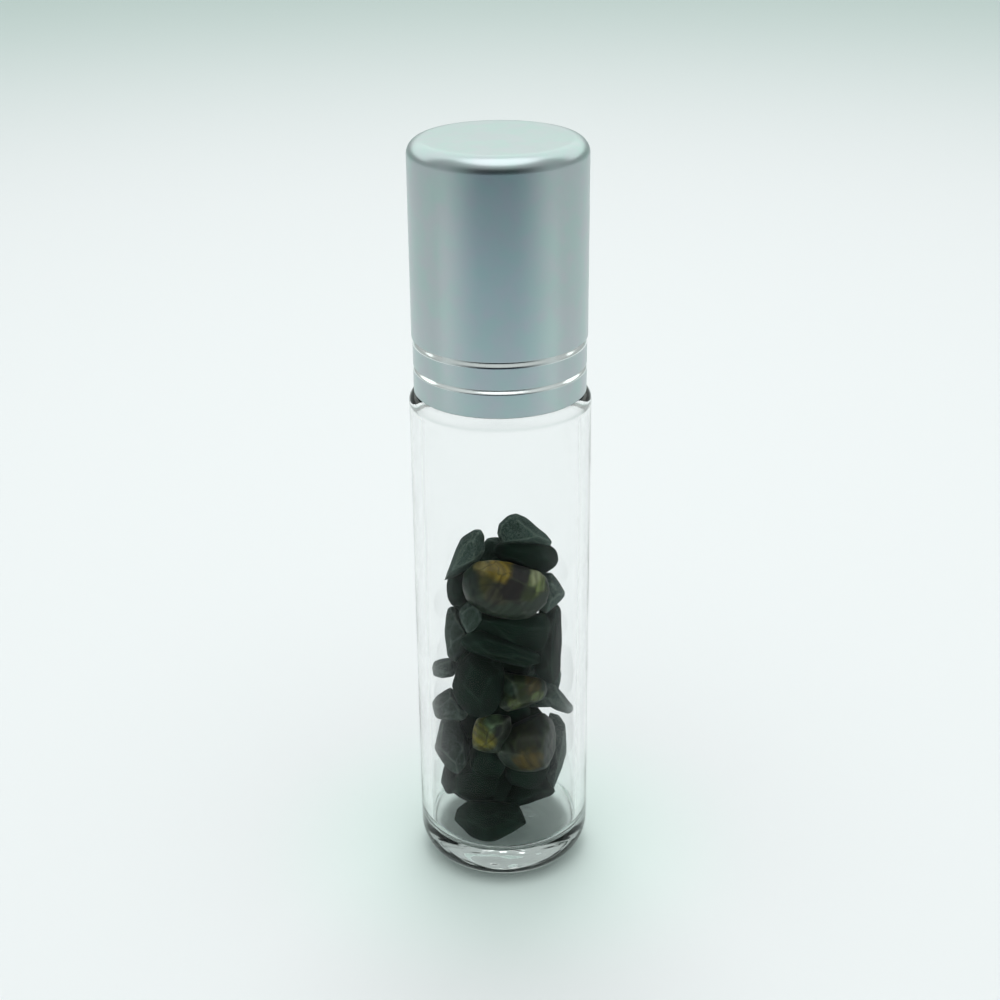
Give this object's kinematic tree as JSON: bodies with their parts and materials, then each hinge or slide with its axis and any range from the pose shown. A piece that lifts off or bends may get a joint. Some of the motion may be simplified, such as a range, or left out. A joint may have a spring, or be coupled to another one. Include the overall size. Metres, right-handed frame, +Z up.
{
  "type": "roll-on bottle",
  "caption": "Small round glass roll-on bottle: screw-on satin metal cap with a plastic liner, steel roller ball in a plastic housing, and a loose pile of stone chips inside.",
  "frame": {"origin": "centre of the foot, on the surface that the bottle stands on", "axes": "+Z up along the bottle's axis, towards the cap; -Y is the side that faces the picture's camera; +X is right in the picture"},
  "size_m": [0.02, 0.02, 0.0868],
  "materials": {
    "clear_glass": "polished clear soda-lime glass",
    "natural_polyethylene": "moulded, translucent natural colour",
    "polished_steel": "polished stainless steel",
    "satin_aluminium": "satin anodised, with two bright turned grooves",
    "white_polypropylene": "moulded white",
    "black_stone": "tumbled, dull polish",
    "grey_stone": "tumbled, dusty and grainy",
    "tiger_eye": "tumbled and polished, banded gold and brown"
  },
  "bodies": {
    "bottle": {"glass_bottle": "clear_glass", "ball_housing": "natural_polyethylene", "black_stone_1": "black_stone", "black_stone_2": "black_stone", "black_stone_3": "black_stone", "black_stone_4": "black_stone", "grey_stone_5": "grey_stone", "grey_stone_6": "grey_stone", "tiger_eye_stone_7": "tiger_eye", "tiger_eye_stone_8": "tiger_eye", "grey_stone_9": "grey_stone", "grey_stone_10": "grey_stone", "tiger_eye_stone_11": "tiger_eye", "black_stone_12": "black_stone", "grey_stone_13": "grey_stone", "black_stone_14": "black_stone", "grey_stone_15": "grey_stone", "black_stone_16": "black_stone", "black_stone_17": "black_stone", "grey_stone_18": "grey_stone", "black_stone_19": "black_stone", "tiger_eye_stone_20": "tiger_eye", "grey_stone_21": "grey_stone", "black_stone_22": "black_stone", "grey_stone_23": "grey_stone", "black_stone_24": "black_stone", "grey_stone_25": "grey_stone", "black_stone_26": "black_stone", "black_stone_27": "black_stone", "black_stone_28": "black_stone", "black_stone_29": "black_stone", "black_stone_30": "black_stone", "black_stone_31": "black_stone", "black_stone_32": "black_stone", "grey_stone_33": "grey_stone", "black_stone_34": "black_stone", "black_stone_35": "black_stone", "black_stone_36": "black_stone", "black_stone_37": "black_stone", "black_stone_38": "black_stone", "black_stone_39": "black_stone"},
    "shell": {"cap_shell": "satin_aluminium"},
    "liner": {"cap_liner": "white_polypropylene"},
    "ball": {"roller_ball": "polished_steel"}
  },
  "joints": [
    {"name": "cap_lift", "type": "slide", "parent": "bottle", "child": "shell", "axis": [0, 0, 1], "range_m": [0, 0.024]},
    {"name": "cap_turn", "type": "hinge", "parent": "shell", "child": "liner", "pos_m": [0, 0, 0.0593], "axis": [0, 0, 1], "range_deg": [0, 2880]},
    {"name": "ball_roll", "type": "hinge", "parent": "bottle", "child": "ball", "pos_m": [0, 0, 0.07565], "axis": [1, 0, 0], "continuous": true}
  ],
  "couplings": [
    {"joint": "cap_lift", "follows": "cap_turn", "m_per_rad": 0.00047746}
  ]
}
